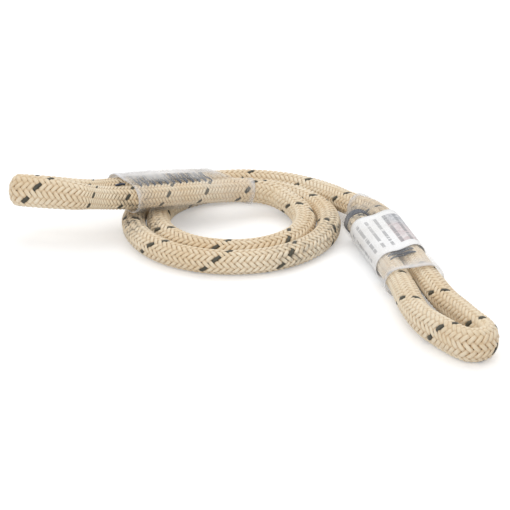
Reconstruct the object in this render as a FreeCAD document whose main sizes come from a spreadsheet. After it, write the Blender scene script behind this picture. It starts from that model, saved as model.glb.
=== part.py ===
"""Sewn eye-to-eye hitch cord, lying in a flat two-turn coil (millimetres, +Z up).

One length of 8 mm kernmantle cord. Each end is folded back on itself into a small eye, stitched
through both thicknesses and covered with a clear shrink sleeve. The left sleeve lies on the coil,
and the right one lies on the ground beside it. The origin is on the ground, under the middle.
"""
import FreeCAD, Part
import math
import os
from FreeCAD import Placement, Rotation, Vector

doc = FreeCAD.newDocument("HitchCord")
sheet = doc.addObject("Spreadsheet::Sheet", "sizes")
SIZES = (
    ("rope_diameter", 8.0, "outside of the braided sheath"),
    ("core_diameter", 5.6, "the load-bearing core"),
    ("core_clearance", 0.1, "gap between the core and the sheath"),
    ("pair_gap", 0.1, "between the two ropes where they are sewn together"),
    ("eye_bend", 5.4, "radius of the rope's centre round the tip of an eye"),
    ("coil_inner_radius", 20.4, "centre of the rope where the first turn starts"),
    ("turn_gap", 0.4, "between one turn of the coil and the next"),
    ("coil_turns", 2.0, "turns of the coil"),
    ("coil_width_ratio", 0.961, "width of the coil over its depth"),
    ("sleeve_wall", 0.35, "shrunk wall of the clear sleeve"),
    ("sleeve_room", 0.04, "clearance between the label and the sleeve"),
    ("grip_clearance", 0.12, "between the single rope and the sleeve"),
    ("label_thickness", 0.12, "film of the wrapped label"),
    ("label_room", 0.04, "clearance between the thread and the label"),
    ("label_start", 3.0, "from the shoulder to the label"),
    ("label_length", 26.0, "label along the sleeve"),
    ("thread_diameter", 0.6, "sewing thread"),
    ("stitch_pitch", 1.5, "from one stitch to the next"),
    ("stitch_reach", 3.6, "from the middle of the pair to the needle holes"),
    ("stitch_margin", 3.0, "from each end of the sewn pair to the first stitch"),
    ("tail_band_width", 2.6, "dark binding on the cut end of the rope"),
    ("tail_band_thickness", 0.25, "the binding stands this far proud of the rope"),
)
for row, (name, value, meaning) in enumerate(SIZES, start=1):
    sheet.set("A%d" % row, name)
    sheet.set("B%d" % row, repr(value))
    sheet.set("C%d" % row, meaning)
    sheet.setAlias("B%d" % row, name)
doc.recompute()
size = {name: float(sheet.get(name)) for name, value, meaning in SIZES}

UP = Vector(0, 0, 1)
ROPE_RADIUS = size["rope_diameter"] / 2
HALF_PAIR = ROPE_RADIUS + size["pair_gap"] / 2
TURN_PITCH = size["rope_diameter"] + size["turn_gap"]
SLEEVE_GRIP = ROPE_RADIUS + size["grip_clearance"]
LABEL_BORE = ROPE_RADIUS + size["thread_diameter"] / 2 + size["label_room"]
SLEEVE_BORE = LABEL_BORE + size["label_thickness"] + size["sleeve_room"]

# Heights of a sewn pair's middle line: resting on the ground, resting on the coil, and the height
# of a bare rope that rests on the ground.
PAIR_ON_GROUND = SLEEVE_BORE + size["sleeve_wall"]
PAIR_ON_COIL = PAIR_ON_GROUND + size["rope_diameter"]
ROPE_ON_GROUND = ROPE_RADIUS

# ---------------------------------------------------------------- the route of the rope
COIL_CENTRE = Vector(0.8, 27.1, ROPE_RADIUS)
COIL_POINTS_PER_TURN = 16
COIL_FIRST_POINT = 2        # the turn's first points are in the lead-in
COIL_FIRST_LIFTS = (1.9, 1.0, 0.4)      # the rope is still coming down from the left sleeve
EYE_TIP_ANGLES = (67.5, 22.5, -22.5, -67.5)

# Middle line of each sewn pair and its eye, from the sleeve's shoulder to the middle of the tip's
# bend: x, y, z, half the distance between the two ropes there, and how far the standing rope's
# side is tipped up, in degrees.
LEFT_AXIS = (
    (-7.9, 40.9, PAIR_ON_COIL - 2.2, HALF_PAIR, 0),
    (-21.9, 33.4, PAIR_ON_COIL + 0.4, HALF_PAIR, 0),
    (-36.9, 25.8, PAIR_ON_COIL + 2.2, HALF_PAIR, 6),
    (-48.9, 23.0, PAIR_ON_COIL + 2.4, HALF_PAIR + 0.3, 16),
    (-57.9, 23.5, PAIR_ON_COIL + 2.2, HALF_PAIR + 0.9, 20),
    (-65.4, 24.2, PAIR_ON_COIL + 1.8, size["eye_bend"], 20),
)
RIGHT_AXIS = (
    (42.9, 22.0, PAIR_ON_GROUND + 2.8, HALF_PAIR, 12),
    (47.0, 6.1, PAIR_ON_GROUND + 1.9, HALF_PAIR, 11),
    (50.6, -8.4, PAIR_ON_GROUND + 1.2, HALF_PAIR, 8),
    (53.9, -22.9, PAIR_ON_GROUND + 0.6, HALF_PAIR, 6),
    (56.3, -36.4, ROPE_ON_GROUND + 1.0, HALF_PAIR + 0.3, 3),
    (58.9, -46.4, ROPE_ON_GROUND + 0.7, HALF_PAIR + 1.1, 0),
    (62.3, -54.0, ROPE_ON_GROUND + 0.5, HALF_PAIR + 1.5, 0),
    (65.3, -59.0, ROPE_ON_GROUND + 0.4, size["eye_bend"], 0),
)
LEFT_MOUTH = 2              # the sleeve ends at this point of the middle line
RIGHT_MOUTH = 3
LEAD_IN = ((4.6, 43.2, ROPE_ON_GROUND + 4.6), (11.1, 44.0, ROPE_ON_GROUND + 3.2))
LEAD_OUT = (
    (14.8, 62.7, ROPE_ON_GROUND),
    (24.8, 57.0, ROPE_ON_GROUND + 0.1),
    (32.6, 48.1, ROPE_ON_GROUND + 0.8),
    (37.7, 37.6, ROPE_ON_GROUND + 2.0),
)



def across(points, index, tilt):
    """Unit vector across the middle line, towards the standing rope's side."""
    ahead = points[min(index + 1, len(points) - 1)]
    behind = points[max(index - 1, 0)]
    along = (ahead - behind).normalize()
    level = UP.cross(along).normalize()
    lift = along.cross(level)
    angle = math.radians(tilt)
    return level * math.cos(angle) + lift * math.sin(angle)


def eye_points(axis):
    """Both legs of an eye and the corners round its tip, all running towards the tip."""
    middle = [Vector(*row[:3]) for row in axis]
    sides = [across(middle, index, row[4]) for index, row in enumerate(axis)]
    legs = list(zip(middle, sides, axis))[:-1]
    standing = [point + side * row[3] for point, side, row in legs]
    tail = [point - side * row[3] for point, side, row in legs]
    ahead = (middle[-1] - middle[-2]).normalize()
    reach = size["eye_bend"] / math.cos(math.radians(22.5))
    tip = []
    for degrees in EYE_TIP_ANGLES:
        angle = math.radians(degrees)
        tip.append(middle[-1] + sides[-1] * reach * math.sin(angle) + ahead * reach * math.cos(angle))
    return standing, tip, tail


def coil_points():
    """Corners round the flat spiral, set out so that the rounded line has the spiral's radius."""
    step = 2 * math.pi / COIL_POINTS_PER_TURN
    last = round(size["coil_turns"] * COIL_POINTS_PER_TURN)
    points = []
    for index in range(COIL_FIRST_POINT, last + 1):
        angle = math.pi / 2 - index * step
        radius = size["coil_inner_radius"] + TURN_PITCH * index / COIL_POINTS_PER_TURN
        radius /= math.cos(step / 2)
        lift = COIL_FIRST_LIFTS[len(points)] if len(points) < len(COIL_FIRST_LIFTS) else 0.0
        sideways = radius * math.cos(angle) * size["coil_width_ratio"]
        points.append(COIL_CENTRE + Vector(sideways, radius * math.sin(angle), lift))
    return points


left_standing, left_tip, left_tail = eye_points(LEFT_AXIS)
right_standing, right_tip, right_tail = eye_points(RIGHT_AXIS)
left_part = left_tail + left_tip[::-1] + left_standing[::-1]
coil_part = [Vector(*row) for row in LEAD_IN] + coil_points() + [Vector(*row) for row in LEAD_OUT]
right_part = right_standing + right_tip + right_tail[::-1]
route = left_part + coil_part + right_part


def rounded_edges(points, cuts=()):
    """Straight runs joined by tangent arcs. Each run in cuts is cut at its middle.

    Returns one list of edges for each stretch between cuts, and the radii of the arcs.
    """
    runs = [(b - a).Length for a, b in zip(points, points[1:])]
    stretches = [[]]
    radii = []
    start = points[0]
    for index in range(1, len(points)):
        corner = points[index]
        before = (points[index] - points[index - 1]).normalize()
        end = corner
        arc_end = None
        if index < len(points) - 1:
            after = (points[index + 1] - corner).normalize()
            turn = before.getAngle(after)
            trim = 0.45 * min(runs[index - 1], runs[index])
            radii.append(trim / math.tan(turn / 2))
            end = corner - before * trim
            arc_end = corner + after * trim
            inward = (after - before).normalize()
            middle = corner + inward * (radii[-1] / math.cos(turn / 2) - radii[-1])
        if index - 1 in cuts:
            halfway = (points[index - 1] + corner) * 0.5
            stretches[-1].append(Part.LineSegment(start, halfway).toShape())
            stretches.append([])
            start = halfway
        stretches[-1].append(Part.LineSegment(start, end).toShape())
        if arc_end is not None:
            stretches[-1].append(Part.Arc(end, middle, arc_end).toShape())
            start = arc_end
    return stretches, radii


def point_along(edges, distance):
    """Position and direction at a distance from the start of a list of edges."""
    for edge in edges:
        if distance <= edge.Length:
            parameter = edge.getParameterByLength(distance)
            return edge.valueAt(parameter), edge.tangentAt(parameter)
        distance -= edge.Length
    return edges[-1].valueAt(edges[-1].LastParameter), edges[-1].tangentAt(edges[-1].LastParameter)


def length_of(edges):
    return sum(edge.Length for edge in edges)


cuts = (len(left_part) - 1, len(left_part) + len(coil_part) - 1)
stretches, radii = rounded_edges(route, cuts)
ROPE_PARTS = dict(zip(("left_eye", "coil", "right_eye"), stretches))
print("rope length %.1f mm" % sum(length_of(edges) for edges in stretches))
print("bend radii, mm:", " ".join("%.0f" % radius for radius in radii))


# ---------------------------------------------------------------- rope: sheath and core
def plain(name, shape):
    """A document object that holds a shape worked out here."""
    feature = doc.addObject("Part::Feature", name)
    feature.Shape = shape
    return feature


def sweep_round(name, spine, radius_rule):
    """A round section, its radius bound to the sheet, swept along a spine."""
    first = spine.Shape.Edges[0]
    circle = doc.addObject("Part::Circle", name + "_section")
    circle.setExpression("Radius", radius_rule)
    circle.Placement = Placement(first.valueAt(0), Rotation(UP, first.tangentAt(0)))
    sweep = doc.addObject("Part::Sweep", name)
    sweep.Sections = [circle]
    sweep.Spine = (spine, ["Edge%d" % (n + 1) for n in range(len(spine.Shape.Edges))])
    sweep.Solid = True
    sweep.Frenet = False
    return sweep


nodes = []
for part_name, edges in ROPE_PARTS.items():
    spine = plain(part_name + "_line", Part.Wire(edges))
    outside = sweep_round(part_name + "_outside", spine, "sizes.rope_diameter / 2")
    inside = sweep_round(part_name + "_inside", spine, "sizes.core_diameter / 2 + sizes.core_clearance")
    core = sweep_round(part_name + "_core", spine, "sizes.core_diameter / 2")
    sheath = doc.addObject("Part::Cut", part_name + "_sheath")
    sheath.Base = outside
    sheath.Tool = inside
    nodes += [sheath, core]


# ---------------------------------------------------------------- what is on each sewn pair
class SewnPair:
    """The stretch between the shoulder and the mouth of one sleeve, measured from the shoulder."""

    def __init__(self, axis, mouth, single_edges):
        self.middle = [Vector(*row[:3]) for row in axis]
        self.tilts = [row[4] for row in axis]
        edges = rounded_edges(self.middle)[0][0]
        self.edges = edges
        self.length = sum((b - a).Length for a, b in zip(self.middle, self.middle[1:mouth + 1]))
        self.marks = [0.0]
        for a, b in zip(self.middle, self.middle[1:]):
            self.marks.append(self.marks[-1] + (b - a).Length)
        self.single_edges = single_edges

    def tilt_at(self, distance):
        for index in range(len(self.marks) - 1):
            low, high = self.marks[index], self.marks[index + 1]
            if distance <= high or index == len(self.marks) - 2:
                share = (distance - low) / (high - low)
                return self.tilts[index] + (self.tilts[index + 1] - self.tilts[index]) * share

    def station(self, distance):
        """Centre, direction along, direction across and direction up at one place."""
        centre, along = point_along(self.edges, distance)
        level = UP.cross(along).normalize()
        lift = along.cross(level)
        angle = math.radians(self.tilt_at(distance))
        side = level * math.cos(angle) + lift * math.sin(angle)
        return centre, along, side, along.cross(side)

    def single_station(self, distance):
        """The same round the single rope, at a distance before the shoulder."""
        centre, away = point_along(self.single_edges, distance)
        along = away * -1
        side = self.station(0)[2]
        side = (side - along * side.dot(along)).normalize()
        return centre, along, side, along.cross(side)


def stadium(station, half_straight, radius):
    """Two half circles joined by two straight edges, square to the station's direction."""
    centre, along, side, up = station
    near, far = side * half_straight, side * -half_straight
    top, bottom = up * radius, up * -radius
    return Part.Wire([
        Part.LineSegment(centre + far + top, centre + near + top).toShape(),
        Part.Arc(centre + near + top, centre + near + side * radius, centre + near + bottom).toShape(),
        Part.LineSegment(centre + near + bottom, centre + far + bottom).toShape(),
        Part.Arc(centre + far + bottom, centre + far - side * radius, centre + far + top).toShape(),
    ])


SINGLE_STRAIGHT = 0.1       # the single rope's section is all but round
SLEEVE_STATIONS = 13
LABEL_STATIONS = 9
SHOULDER_LENGTH = 7.0       # the sleeve narrows to the single rope over this length
SINGLE_LENGTH = 5.0         # and then grips the single rope for this length
TAIL_COVER = 0.8            # it covers the cut end by this much before it narrows


def sleeve(name, pair):
    """Clear sleeve: round the single rope at one end, round both ropes at the mouth."""
    wall = size["sleeve_wall"]
    shells = []
    for extra in (wall, 0.0):
        bore, grip = SLEEVE_BORE + extra, SLEEVE_GRIP + extra
        sections = [
            stadium(pair.single_station(SHOULDER_LENGTH + SINGLE_LENGTH), SINGLE_STRAIGHT, grip),
            stadium(pair.single_station(SHOULDER_LENGTH), SINGLE_STRAIGHT, grip),
        ]
        centre, along, side, up = pair.station(0)
        sections.append(stadium((centre - along * TAIL_COVER, along, side, up), HALF_PAIR, bore))
        for index in range(1, SLEEVE_STATIONS):
            distance = pair.length * index / (SLEEVE_STATIONS - 1)
            sections.append(stadium(pair.station(distance), HALF_PAIR, bore))
        shells.append(Part.makeLoft(sections, True, True))
    return plain(name, shells[0].cut(shells[1]))


def label(name, pair):
    """Printed film wrapped once round both sewn ropes, under the sleeve."""
    shells = []
    for extra in (size["label_thickness"], 0.0):
        sections = []
        for index in range(LABEL_STATIONS):
            distance = size["label_start"] + size["label_length"] * index / (LABEL_STATIONS - 1)
            sections.append(stadium(pair.station(distance), HALF_PAIR, LABEL_BORE + extra))
        shells.append(Part.makeLoft(sections, True, True))
    return plain(name, shells[0].cut(shells[1]))


def stitch(start, end, up):
    """One stitch: down into one rope, across the pair, and down into the other."""
    rise = ROPE_RADIUS
    radius = size["thread_diameter"] / 2
    corner = 2 * radius
    over = (end - start).normalize()
    top_start, top_end = start + up * rise, end + up * rise
    slant = math.sqrt(0.5)
    arc_one = top_start + (over * (1 - slant) - up * (1 - slant)) * corner
    arc_two = top_end + (over * (slant - 1) - up * (1 - slant)) * corner
    path = Part.Wire([
        Part.LineSegment(start + up * radius, top_start - up * corner).toShape(),
        Part.Arc(top_start - up * corner, arc_one, top_start + over * corner).toShape(),
        Part.LineSegment(top_start + over * corner, top_end - over * corner).toShape(),
        Part.Arc(top_end - over * corner, arc_two, top_end - up * corner).toShape(),
        Part.LineSegment(top_end - up * corner, end + up * radius).toShape(),
    ])
    section = Part.Wire([Part.Circle(start + up * radius, up, radius).toShape()])
    return path.makePipeShell([section], True, False)


def stitching(name, pair, face):
    """A zigzag of stitches on one face of the pair: face is 1 on top and -1 underneath."""
    pitch = size["stitch_pitch"]
    count = int((pair.length - 2 * size["stitch_margin"]) / pitch)
    room = size["thread_diameter"] * 0.6
    solids = []
    for index in range(count):
        hand = 1 if index % 2 else -1
        first = size["stitch_margin"] + index * pitch
        centre_a, along_a, side_a, up_a = pair.station(first)
        centre_b, along_b, side_b, up_b = pair.station(first + pitch)
        start = centre_a - side_a * hand * size["stitch_reach"] + along_a * room
        end = centre_b + side_b * hand * size["stitch_reach"] - along_b * room
        up = (up_a + up_b).normalize() * face
        solids.append(stitch(start, end, up))
    return plain(name, Part.makeCompound(solids))


def tail_band(name, tail_point, along):
    """Binding wound round the cut end of the rope."""
    outer = ROPE_RADIUS + size["tail_band_thickness"]
    band = Part.makeCylinder(outer, size["tail_band_width"], tail_point, along)
    hole = Part.makeCylinder(ROPE_RADIUS, size["tail_band_width"], tail_point, along)
    return plain(name, band.cut(hole))


def leading_away(points):
    """Edges from the standing rope's place at the shoulder along the single rope."""
    return rounded_edges(points)[0][0]


left_pair = SewnPair(LEFT_AXIS, LEFT_MOUTH, leading_away([left_standing[0]] + coil_part[:4]))
right_pair = SewnPair(RIGHT_AXIS, RIGHT_MOUTH, leading_away([right_standing[0]] + coil_part[:-5:-1]))
for side_name, pair in (("left", left_pair), ("right", right_pair)):
    nodes.append(sleeve(side_name + "_sleeve", pair))
    nodes.append(stitching(side_name + "_needle_thread", pair, 1))
    nodes.append(stitching(side_name + "_bobbin_thread", pair, -1))
nodes.append(label("right_label", right_pair))
nodes.append(tail_band("right_tail_band", right_tail[0], (right_tail[1] - right_tail[0]).normalize()))

# ---------------------------------------------------------------- check and write
doc.recompute()
for feature in doc.Objects:
    if "Invalid" in feature.State or "Error" in feature.State:
        raise RuntimeError("%s is %s" % (feature.Name, feature.State))
for node in nodes:
    node.Label = node.Name
    if node.Shape.isNull() or not node.Shape.isValid() or not node.Shape.Solids:
        raise RuntimeError("%s has no valid solid" % node.Name)
for part_name, edges in ROPE_PARTS.items():
    core = doc.getObject(part_name + "_core")
    ideal = math.pi * (size["core_diameter"] / 2) ** 2 * length_of(edges)
    print("%s: core %.1f mm3, section times length %.1f mm3" % (part_name, core.Shape.Volume, ideal))

os.makedirs("parts", exist_ok=True)
box = FreeCAD.BoundBox()
for node in nodes:
    node.Shape.exportStep("parts/%s.step" % node.Label)
    box.add(node.Shape.optimalBoundingBox(False, False))
    print("%-22s %2d solids %9.1f mm3" % (node.Label, len(node.Shape.Solids), node.Shape.Volume))
print("box x %.2f %.2f  y %.2f %.2f  z %.2f %.2f" % (
    box.XMin, box.XMax, box.YMin, box.YMax, box.ZMin, box.ZMax))
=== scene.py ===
# %% [markdown]
# # A sewn eye-to-eye hitch cord
# One length of 8 mm kernmantle rope, with each end folded back, sewn into a small eye and covered
# with a clear shrink sleeve. It lies in a flat coil of two turns. The places and sizes are the CAD
# model's, apart from small shifts; this lesson gives the rope its real braid and each piece its
# real finish.

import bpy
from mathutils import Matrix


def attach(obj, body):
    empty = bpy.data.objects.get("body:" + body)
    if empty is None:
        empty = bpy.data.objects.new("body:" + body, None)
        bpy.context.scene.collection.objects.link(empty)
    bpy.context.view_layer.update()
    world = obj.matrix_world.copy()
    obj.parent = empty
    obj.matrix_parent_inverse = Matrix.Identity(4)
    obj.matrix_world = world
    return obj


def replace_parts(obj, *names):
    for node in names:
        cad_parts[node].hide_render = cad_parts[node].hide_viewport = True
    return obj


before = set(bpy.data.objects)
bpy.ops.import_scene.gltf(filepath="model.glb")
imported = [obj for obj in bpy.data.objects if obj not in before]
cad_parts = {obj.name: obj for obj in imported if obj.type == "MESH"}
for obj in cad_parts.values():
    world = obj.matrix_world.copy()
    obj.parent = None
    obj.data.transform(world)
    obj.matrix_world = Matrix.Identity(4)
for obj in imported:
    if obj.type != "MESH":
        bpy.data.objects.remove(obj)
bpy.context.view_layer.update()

# %% Tools used all through the lesson
import math

import bpy
import numpy as np
from mathutils import Vector

MM = 0.001
UP = Vector((0, 0, 1))


def linear(hex_colour):
    """An sRGB hex colour as the linear red, green, blue and alpha that a shader wants."""
    channels = [int(hex_colour[i:i + 2], 16) / 255 for i in (1, 3, 5)]
    return [c / 12.92 if c <= 0.04045 else ((c + 0.055) / 1.055) ** 2.4 for c in channels] + [1.0]


def add(tree, kind, settings=None, inputs=None):
    """Adds a node. An input given as a socket is linked, and any other is set as a value."""
    node = tree.nodes.new(kind)
    for name, value in (settings or {}).items():
        setattr(node, name, value)
    for key, value in (inputs or {}).items():
        value = value.socket if isinstance(value, Sum) else value
        if isinstance(value, bpy.types.NodeSocket):
            tree.links.new(value, node.inputs[key])
        else:
            node.inputs[key].default_value = value
    return node


class Sum:
    """A number in a node tree. A sum written with it adds the maths nodes that work it out."""

    def __init__(self, tree, socket):
        self.tree, self.socket = tree, socket

    def make(self, operation, first, second):
        node = add(self.tree, "ShaderNodeMath", {"operation": operation}, {0: first, 1: second})
        return Sum(self.tree, node.outputs[0])

    def to(self, operation, other=0.0):
        return self.make(operation, self, other)

    def __add__(self, other):
        return self.to("ADD", other)

    def __sub__(self, other):
        return self.to("SUBTRACT", other)

    def __rsub__(self, other):
        return self.make("SUBTRACT", other, self)

    def __mul__(self, other):
        return self.to("MULTIPLY", other)

    def __truediv__(self, other):
        return self.to("DIVIDE", other)

    def __rtruediv__(self, other):
        return self.make("DIVIDE", other, self)


def link_object(name, data):
    piece = bpy.data.objects.new(name, data)
    bpy.context.scene.collection.objects.link(piece)
    return piece


# %% [markdown]
# ## Camera, floor and light
# The cord lies on a white studio floor under a large soft lamp that is above and a little
# behind it, with a second one in front, so its shadows stay pale. A long lens from about half a metre keeps
# the coil's ellipse honest. The lamps and the white room are balanced so that the cord keeps its
# warm straw colour and the floor goes to white.

# %% Camera
TARGET = Vector((6.1, 8.6, 0)) * MM
CAMERA_DISTANCE = 480 * MM
CAMERA_ELEVATION = math.radians(24)
CAMERA_LENS = 105.9

camera_data = bpy.data.cameras.new("camera")
camera_data.lens = CAMERA_LENS
camera_data.sensor_width = 36
camera_data.clip_start = 0.01
camera = link_object("camera", camera_data)
away = Vector((0, -math.cos(CAMERA_ELEVATION), math.sin(CAMERA_ELEVATION)))
camera.location = TARGET + away * CAMERA_DISTANCE
camera.rotation_euler = (-away).to_track_quat("-Z", "Y").to_euler()
bpy.context.scene.camera = camera
bpy.context.scene.view_settings.view_transform = "Standard"
print("camera at", [round(x, 4) for x in camera.location])

# %% Lamps and world
LAMPS = (
    # name, place, size, power in watts
    ("soft_top", (0.10, 0.26, 0.62), 0.80, 1.9),
    ("soft_front", (-0.22, -0.55, 0.50), 0.70, 1.6),
)
ROOM_LIGHT = 0.57        # what the room gives the cord; the camera sees it plain white
FLOOR_GLOW = 0.30
for name, place, width, power in LAMPS:
    lamp = bpy.data.lights.new(name, "AREA")
    lamp.size = width
    lamp.energy = power
    lamp_object = link_object(name, lamp)
    lamp_object.location = place
    lamp_object.rotation_euler = (-Vector(place)).to_track_quat("-Z", "Y").to_euler()

world = bpy.data.worlds.new("white_room")
bpy.context.scene.world = world
world.use_nodes = True
nodes = world.node_tree
nodes.nodes.clear()
rays = add(nodes, "ShaderNodeLightPath").outputs
seen = Sum(nodes, rays["Is Camera Ray"]).to("MAXIMUM", rays["Is Glossy Ray"])
seen = seen.to("MAXIMUM", rays["Is Transmission Ray"])
lit = add(nodes, "ShaderNodeBackground", None, {"Color": linear("#FFFFFF"), "Strength": ROOM_LIGHT})
white = add(nodes, "ShaderNodeBackground", None, {"Color": linear("#FFFFFF"), "Strength": 1.0})
mix = add(nodes, "ShaderNodeMixShader", None,
          {0: seen, 1: lit.outputs[0], 2: white.outputs[0]})
add(nodes, "ShaderNodeOutputWorld", None, {"Surface": mix.outputs[0]})


# %% Floor
def material(name):
    """A new empty material, with its node tree."""
    finish = bpy.data.materials.new(name)
    finish.use_nodes = True
    finish.node_tree.nodes.clear()
    return finish, finish.node_tree


floor_finish, tree = material("white_sweep_paper")
rays = add(tree, "ShaderNodeLightPath")
paper = add(tree, "ShaderNodeBsdfDiffuse", None, {"Color": linear("#F4F4F4")})
glow = add(tree, "ShaderNodeEmission", None, {"Color": linear("#FFFFFF"), "Strength": FLOOR_GLOW})
lifted = add(tree, "ShaderNodeAddShader", None, {0: paper.outputs[0], 1: glow.outputs[0]})
mix = add(tree, "ShaderNodeMixShader", None,
          {0: rays.outputs["Is Camera Ray"], 1: paper.outputs[0], 2: lifted.outputs[0]})
add(tree, "ShaderNodeOutputMaterial", None, {"Surface": mix.outputs[0]})

FLOOR_HALF = 3.0
floor_mesh = bpy.data.meshes.new("floor")
corners = [(x * FLOOR_HALF, y * FLOOR_HALF, 0) for x, y in ((-1, -1), (1, -1), (1, 1), (-1, 1))]
floor_mesh.from_pydata(corners, [], [(0, 1, 2, 3)])
floor_mesh.materials.append(floor_finish)
floor = link_object("floor", floor_mesh)

# %% [markdown]
# ## The rope's line
# The rope is one length, so it has one line: round the left eye, through the coil and round the
# right eye. Its points are the CAD model's, moved by up to 1.5 mm where the real cord lies a little
# differently, and they control a NURBS spline, which rounds them into one smooth line. Everything
# on the rope follows points read from that spline.

# %% Sizes of the rope and its route, in millimetres as on a drawing
ROPE_RADIUS = 4.0
HALF_PAIR = 4.05
EYE_BEND = 4.4
TURN_PITCH = 8.4
COIL_INNER_RADIUS = 20.4
COIL_WIDTH_RATIO = 0.975
COIL_CENTRE = Vector((0.3, 27.1, ROPE_RADIUS))
COIL_POINTS_PER_TURN = 16
COIL_TURNS = 2
COIL_FIRST_POINT = 2
COIL_FIRST_LIFTS = (1.9, 1.0, 0.4)
TIP_HALF_STEP = 22.5          # half the angle between the points round a tip, in degrees
SPLINE_RESOLUTION = 32
PAIR_ON_GROUND = 4.85
PAIR_ON_COIL = 12.85
ROPE_ON_GROUND = 4.0

# x, y, z, half the distance between the two ropes, and how far the pair is tipped, in degrees.
LEFT_AXIS = (
    (-7.9, 40.9, PAIR_ON_COIL - 2.2, HALF_PAIR, 0),
    (-21.9, 33.4, PAIR_ON_COIL + 0.1, HALF_PAIR, -5),
    (-36.9, 25.8, PAIR_ON_COIL + 1.6, HALF_PAIR, -3),
    (-48.9, 23.0, PAIR_ON_COIL + 2.0, HALF_PAIR + 0.3, 12),
    (-57.9, 23.5, PAIR_ON_COIL + 2.6, HALF_PAIR + 0.9, 20),
    (-66.3, 24.3, PAIR_ON_COIL + 3.0, EYE_BEND, 20),
)
RIGHT_AXIS = (
    (42.9, 22.0, PAIR_ON_GROUND + 2.8, HALF_PAIR, 12),
    (47.0, 6.1, PAIR_ON_GROUND + 1.9, HALF_PAIR, 11),
    (50.6, -8.4, PAIR_ON_GROUND + 1.2, HALF_PAIR, 8),
    (53.9, -22.9, PAIR_ON_GROUND + 0.6, HALF_PAIR, 6),
    (56.3, -36.4, ROPE_ON_GROUND + 1.1, HALF_PAIR + 0.9, 3),
    (59.3, -46.8, ROPE_ON_GROUND + 1.3, HALF_PAIR + 2.0, 0),
    (62.9, -54.6, ROPE_ON_GROUND + 1.4, HALF_PAIR + 1.0, 0),
    (66.1, -59.9, ROPE_ON_GROUND + 1.4, EYE_BEND, 0),
)
LEAD_IN = ((4.6, 43.2, ROPE_ON_GROUND + 4.6), (11.1, 44.0, ROPE_ON_GROUND + 3.2))
LEAD_OUT = (
    (14.8, 62.7, ROPE_ON_GROUND),
    (24.8, 57.0, ROPE_ON_GROUND + 0.1),
    (32.6, 48.1, ROPE_ON_GROUND + 0.8),
    (37.7, 37.6, ROPE_ON_GROUND + 2.0),
)


# %% Points of the two eyes and the coil
def across(points, index, tilt):
    """Unit vector across a pair, towards the rope that goes on to the coil."""
    ahead = points[min(index + 1, len(points) - 1)]
    behind = points[max(index - 1, 0)]
    along = (ahead - behind).normalized()
    level = UP.cross(along).normalized()
    lift = along.cross(level)
    angle = math.radians(tilt)
    return level * math.cos(angle) + lift * math.sin(angle)


def eye_points(axis):
    """Both legs of an eye and the points round its tip, all running towards the tip."""
    middle = [Vector(row[:3]) for row in axis]
    sides = [across(middle, index, row[4]) for index, row in enumerate(axis)]
    legs = list(zip(middle, sides, axis))[:-1]
    standing = [point + side * row[3] for point, side, row in legs]
    tail = [point - side * row[3] for point, side, row in legs]
    ahead = (middle[-1] - middle[-2]).normalized()
    reach = EYE_BEND / math.cos(math.radians(TIP_HALF_STEP))
    tip = []
    for half_steps in (3, 1, -1, -3):
        angle = math.radians(half_steps * TIP_HALF_STEP)
        tip.append(middle[-1] + sides[-1] * reach * math.sin(angle) + ahead * reach * math.cos(angle))
    return standing, tip, tail


def coil_points():
    """Points round the flat spiral of the coil."""
    step = 2 * math.pi / COIL_POINTS_PER_TURN
    points = []
    for index in range(COIL_FIRST_POINT, COIL_TURNS * COIL_POINTS_PER_TURN + 1):
        angle = math.pi / 2 - index * step
        radius = COIL_INNER_RADIUS + TURN_PITCH * index / COIL_POINTS_PER_TURN
        radius /= math.cos(step / 2)
        lift = COIL_FIRST_LIFTS[len(points)] if len(points) < len(COIL_FIRST_LIFTS) else 0.0
        sideways = radius * math.cos(angle) * COIL_WIDTH_RATIO
        points.append(COIL_CENTRE + Vector((sideways, radius * math.sin(angle), lift)))
    return points


left_standing, left_tip, left_tail = eye_points(LEFT_AXIS)
right_standing, right_tip, right_tail = eye_points(RIGHT_AXIS)
left_part = left_tail + left_tip[::-1] + left_standing[::-1]
coil_part = [Vector(row) for row in LEAD_IN] + coil_points() + [Vector(row) for row in LEAD_OUT]
right_part = right_standing + right_tip + right_tail[::-1]
route = left_part + coil_part + right_part
print("the route has", len(route), "points")


# %% Smooth lines through control points
def spline_points(name, points):
    """The points of the NURBS spline that these points control, in metres, one per row."""
    curve = bpy.data.curves.new(name, "CURVE")
    curve.dimensions = "3D"
    curve.resolution_u = SPLINE_RESOLUTION
    spline = curve.splines.new("NURBS")
    spline.points.add(len(points) - 1)
    for target, point in zip(spline.points, points):
        target.co = (*(point * MM), 1.0)
    spline.order_u = 3
    spline.use_endpoint_u = True
    holder = link_object(name, curve)
    mesh = bpy.data.meshes.new_from_object(holder)
    line = np.array([vertex.co for vertex in mesh.vertices])
    bpy.data.objects.remove(holder)
    bpy.data.meshes.remove(mesh)
    return line


def distances(line):
    """How far along the line each of its points is."""
    steps = np.linalg.norm(np.diff(line, axis=0), axis=1)
    return np.concatenate([[0.0], np.cumsum(steps)])


def along_line(at, marks, line):
    """The places on a line at these distances along it."""
    return np.stack([np.interp(at, marks, line[:, i]) for i in range(3)], axis=-1)


rope_line = spline_points("rope_line", route)
rope_marks = distances(rope_line)
ROPE_LENGTH = rope_marks[-1]
print("rope %.1f mm long, %d points" % (ROPE_LENGTH / MM, len(rope_line)))


# %% Places along the rope that the rest of the lesson uses, as distances from the left tail
def rope_place(point, low=0.0, high=1.0):
    """Distance along the rope of its nearest point to a place, within a share of its length."""
    chosen = np.where((rope_marks >= low * ROPE_LENGTH) & (rope_marks <= high * ROPE_LENGTH))[0]
    away = np.linalg.norm(rope_line[chosen] - np.array(point) * MM, axis=1)
    return rope_marks[chosen[np.argmin(away)]]


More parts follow.
